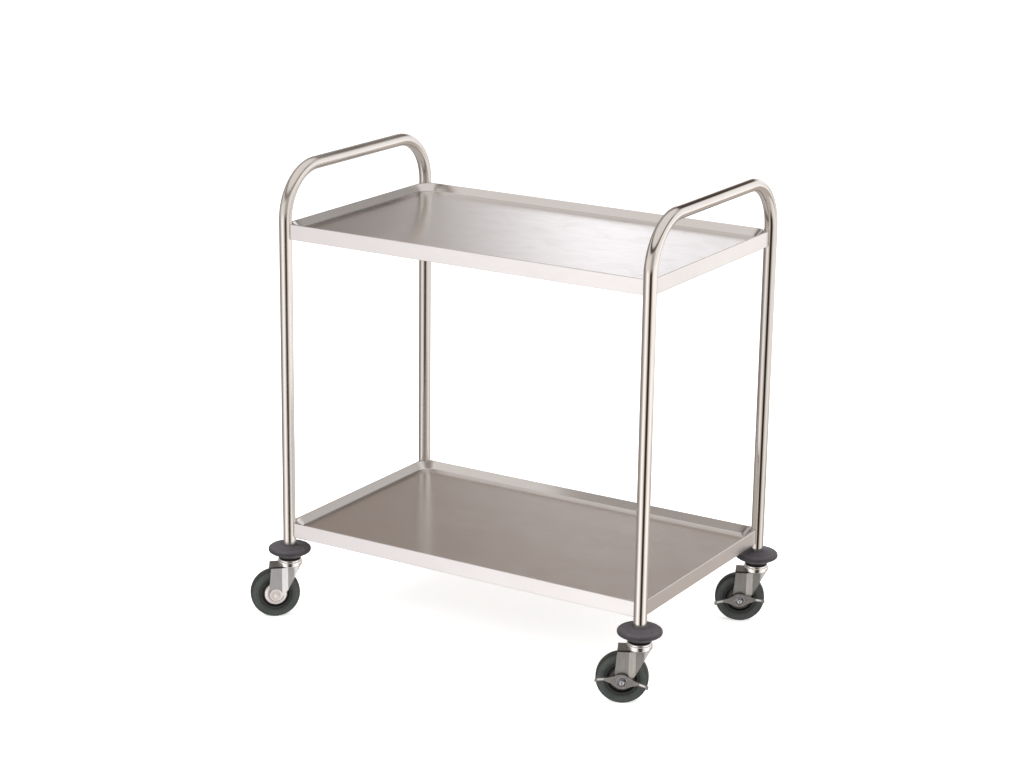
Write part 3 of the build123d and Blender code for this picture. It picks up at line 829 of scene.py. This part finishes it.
for corner in CORNERS:
    ease(f"fork_{corner}", width=0.35)
    ease(f"axle_nut_{corner}", width=0.25)
    ease(f"axle_bolt_{corner}", width=0.25)
    # Only the right-hand casters have brakes.
    if corner.endswith("right"):
        ease(f"brake_pedal_{corner}", width=0.3)
        ease(f"brake_cam_{corner}", width=0.25)
        set_material(f"brake_cam_{corner}", DARK_CAM)
        set_material(f"brake_pedal_{corner}", PEDAL_STEEL)
        set_material(f"axle_nut_{corner}", DARK_CHROME)
    else:
        set_material(f"axle_nut_{corner}", SATIN_NUT)


# ------------------------------------------------------------------ floor
def add_floor(half):
    """Square floor with a half size in metres, left out of reflections."""
    mesh = bpy.data.meshes.new("floor")
    corners = [(-half, -half, 0), (half, -half, 0), (half, half, 0), (-half, half, 0)]
    mesh.from_pydata(corners, [], [(0, 1, 2, 3)])
    made = add_object("floor", mesh)
    mesh.materials.append(make_material("pale_floor", pale_floor))
    made.visible_glossy = False
    made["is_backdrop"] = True


add_floor(half=30.0)

# ------------------------------------------------------------------ camera
CAMERA_PLACE = (2.3639, -3.9450, 1.8388)  # metres
CAMERA_YAW = math.radians(31.27)
CAMERA_PITCH = math.radians(16.31)  # downwards
CAMERA_ROLL = math.radians(-0.79)
LENS, SENSOR = 85.130859375, 36.0  # mm


def add_camera():
    level = math.cos(CAMERA_PITCH)
    forward = Vector((-math.sin(CAMERA_YAW) * level, math.cos(CAMERA_YAW) * level,
                      -math.sin(CAMERA_PITCH)))
    right = Vector((math.cos(CAMERA_YAW), math.sin(CAMERA_YAW), 0))
    down = forward.cross(right)
    rolled_right = math.cos(CAMERA_ROLL) * right + math.sin(CAMERA_ROLL) * down
    rolled_down = -math.sin(CAMERA_ROLL) * right + math.cos(CAMERA_ROLL) * down
    data = bpy.data.cameras.new("camera")
    data.sensor_width = SENSOR
    data.lens = LENS
    data.clip_start = 0.05
    data.clip_end = 200.0
    made = add_object("camera", data)
    matrix = Matrix((rolled_right, -rolled_down, -forward)).transposed().to_4x4()
    matrix.translation = CAMERA_PLACE
    made.matrix_world = matrix
    SCENE.camera = made


add_camera()

# ------------------------------------------------------------------ world
# Colours of the room by azimuth: degrees from the direction of the camera, positive to the
# camera's right. The dark strip near 0 is the room behind the camera.
SHARED_WALLS = [
    (-180, (0.46, 0.43, 0.41)), (-150, (0.40, 0.375, 0.36)), (-112, (0.26, 0.24, 0.23)),
    (-92, (0.42, 0.39, 0.37)), (-76, (0.74, 0.70, 0.71)), (-68, (0.93, 0.885, 0.90)),
    (-62, (1.26, 1.235, 1.26)), (-50, (1.28, 1.24, 1.23)), (-26, (1.02, 0.96, 0.91)),
    (-13, (0.34, 0.30, 0.27)), (-5, (0.035, 0.030, 0.027)), (14, (0.022, 0.018, 0.015)),
    (24, (0.20, 0.17, 0.15)), (34, (0.80, 0.75, 0.71)), (58, (1.20, 1.17, 1.14)),
    (88, (1.20, 1.16, 1.13)),
]
WALLS = SHARED_WALLS + [
    (116, (1.20, 1.165, 1.145)), (124, (1.20, 1.165, 1.145)), (138, (0.80, 0.76, 0.74)),
    (158, (0.62, 0.59, 0.57)), (180, (0.46, 0.43, 0.41)),
]
LOW_WALLS = SHARED_WALLS + [
    (102, (0.60, 0.53, 0.49)), (140, (0.52, 0.46, 0.42)), (158, (0.50, 0.46, 0.43)),
    (180, (0.46, 0.43, 0.41)),
]
# backdrop reflected by the upper tray's floor
BACKDROP = [
    (-180, (1.0, 0.99, 1.01)), (-177.7, (0.42, 0.39, 0.38)), (-173, (0.16, 0.14, 0.135)),
    (-155, (0.10, 0.088, 0.084)), (-120, (0.24, 0.22, 0.21)), (-80, (0.9, 0.86, 0.84)),
    (-24, (0.80, 0.765, 0.74)), (-8, (0.44, 0.415, 0.395)), (20, (0.40, 0.375, 0.355)),
    (40, (0.9, 0.87, 0.84)), (110, (1.0, 0.98, 0.98)), (150, (1.12, 1.11, 1.14)),
    (175, (1.18, 1.18, 1.22)), (178, (1.58, 1.58, 1.64)), (180, (1.0, 0.99, 1.01)),
]
# plain band above it, reflected by the lower tray
PLAIN_BAND = [
    (-180, (0.298, 0.238, 0.198)), (-172, (0.290, 0.232, 0.194)), (-163, (0.56, 0.535, 0.52)),
    (-140, (0.56, 0.535, 0.52)), (-90, (0.8, 0.76, 0.74)), (-24, (0.80, 0.765, 0.74)),
    (-8, (0.44, 0.415, 0.395)), (20, (0.40, 0.375, 0.355)), (40, (0.9, 0.87, 0.84)),
    (100, (1.0, 0.97, 0.95)), (135, (0.95, 0.92, 0.90)), (160, (0.285, 0.218, 0.173)),
    (180, (0.296, 0.232, 0.190)),
]


def reflected_room(tree):
    """Colour of the room by direction, built up in bands of elevation in degrees."""
    direction = tree.coords("Generated")

    def part_along(vector):
        inputs = {0: direction, 1: vector}
        return tree.new("VectorMath", inputs, operation="DOT_PRODUCT").outputs["Value"]

    to_right = part_along((math.cos(CAMERA_YAW), math.sin(CAMERA_YAW), 0))
    to_camera = part_along((math.sin(CAMERA_YAW), -math.cos(CAMERA_YAW), 0))
    azimuth = tree.times_plus(tree.math("ARCTAN2", to_right, to_camera), by=1 / TAU, plus=0.5)
    elevation = tree.times_plus(tree.math("ARCSINE", part_along((0, 0, 1))),
                                by=1 / math.pi, plus=0.5)

    def around(stops):
        return tree.ramp(azimuth, [((degrees + 180) / 360, value) for degrees, value in stops])

    def upwards(*stops):
        return tree.ramp(elevation, [((degrees + 90) / 180, value) for degrees, value in stops])

    room = tree.mix(around(LOW_WALLS), around(WALLS), amount=upwards((-19, 0.0), (-15, 1.0)))
    room = tree.mix(room, around(BACKDROP), amount=upwards((-6, 0.0), (2, 1.0)))
    room = tree.mix(room, around(PLAIN_BAND), amount=upwards((15, 0.0), (18, 1.0)))
    room = tree.mix(room, (0.60, 0.575, 0.555), amount=upwards((24.0, 0.0), (27.5, 1.0)))
    # The dark line along the handles is kept off the trays' end walls.
    line = upwards((28, 0.0), (32, 1.0), (38, 1.0), (43, 0.0))
    clear = around([(98, 1.0), (108, 0.1), (128, 0.1), (137, 1.0)])
    room = tree.mix(room, (0.11, 0.095, 0.085), amount=tree.times(line, by=clear))
    # A short darker strip, away from the camera on its right.
    strip = upwards((23.5, 0.0), (25.5, 1.0), (32, 1.0), (34, 0.0))
    reach = around([(132, 0.0), (140, 1.0), (168, 1.0), (174, 0.0)])
    room = tree.mix(room, (0.06, 0.052, 0.048), amount=tree.times(strip, by=reach))
    room = tree.mix(room, (0.80, 0.765, 0.74), amount=upwards((40, 0.0), (50, 1.0)))
    return tree.mix(room, (0.62, 0.58, 0.55), amount=upwards((-60, 1.0), (-35, 0.0)))


def studio_world():
    """Plain white for light, a simple room for reflections, and white seen directly."""
    world = bpy.data.worlds.new("studio")
    SCENE.world = world
    tree = Tree(world)

    def background(colour, strength):
        return tree.new("Background", {0: colour, 1: strength}).outputs[0]

    rays = tree.new("LightPath").outputs
    light = background((1.0, 0.985, 0.97), strength=0.62)
    room = background(reflected_room(tree), strength=1.0)
    # As pale as the floor, so that no horizon shows in low views.
    seen = background((1.0, 1.0, 1.0), strength=1.0)
    shader = tree.new("MixShader", {0: rays["Is Glossy Ray"], 1: light, 2: room}).outputs[0]
    shader = tree.new("MixShader", {0: rays["Is Camera Ray"], 1: shader, 2: seen}).outputs[0]
    tree.new("OutputWorld", {0: shader})


studio_world()

# ------------------------------------------------------------------ lights
LIGHT_TARGET = Vector((0, 0, 0.4))


def softbox(name, location, size, energy, colour):
    """Square area light aimed at the trolley; metres and watts."""
    data = bpy.data.lights.new(name, "AREA")
    data.shape = "RECTANGLE"
    data.size = size
    data.size_y = size
    data.energy = energy
    data.color = colour
    made = add_object(name, data)
    made.location = location
    made.rotation_mode = "QUATERNION"
    made.rotation_quaternion = (LIGHT_TARGET - Vector(location)).to_track_quat("-Z", "Y")
    made.visible_glossy = False
    made.visible_camera = False


softbox("key", location=(-1.6, -2.6, 3.2), size=2.4, energy=95, colour=(1.0, 0.985, 0.965))
softbox("fill", location=(3.2, -0.6, 2.4), size=2.0, energy=35, colour=(1.0, 0.99, 0.98))
softbox("top", location=(0.2, 0.6, 3.6), size=3.0, energy=60, colour=(1, 1, 1))

SCENE.view_settings.view_transform = "Standard"
SCENE.view_settings.look = "None"
SCENE.view_settings.exposure = 0.0
SCENE.view_settings.gamma = 1.0

low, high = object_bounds()
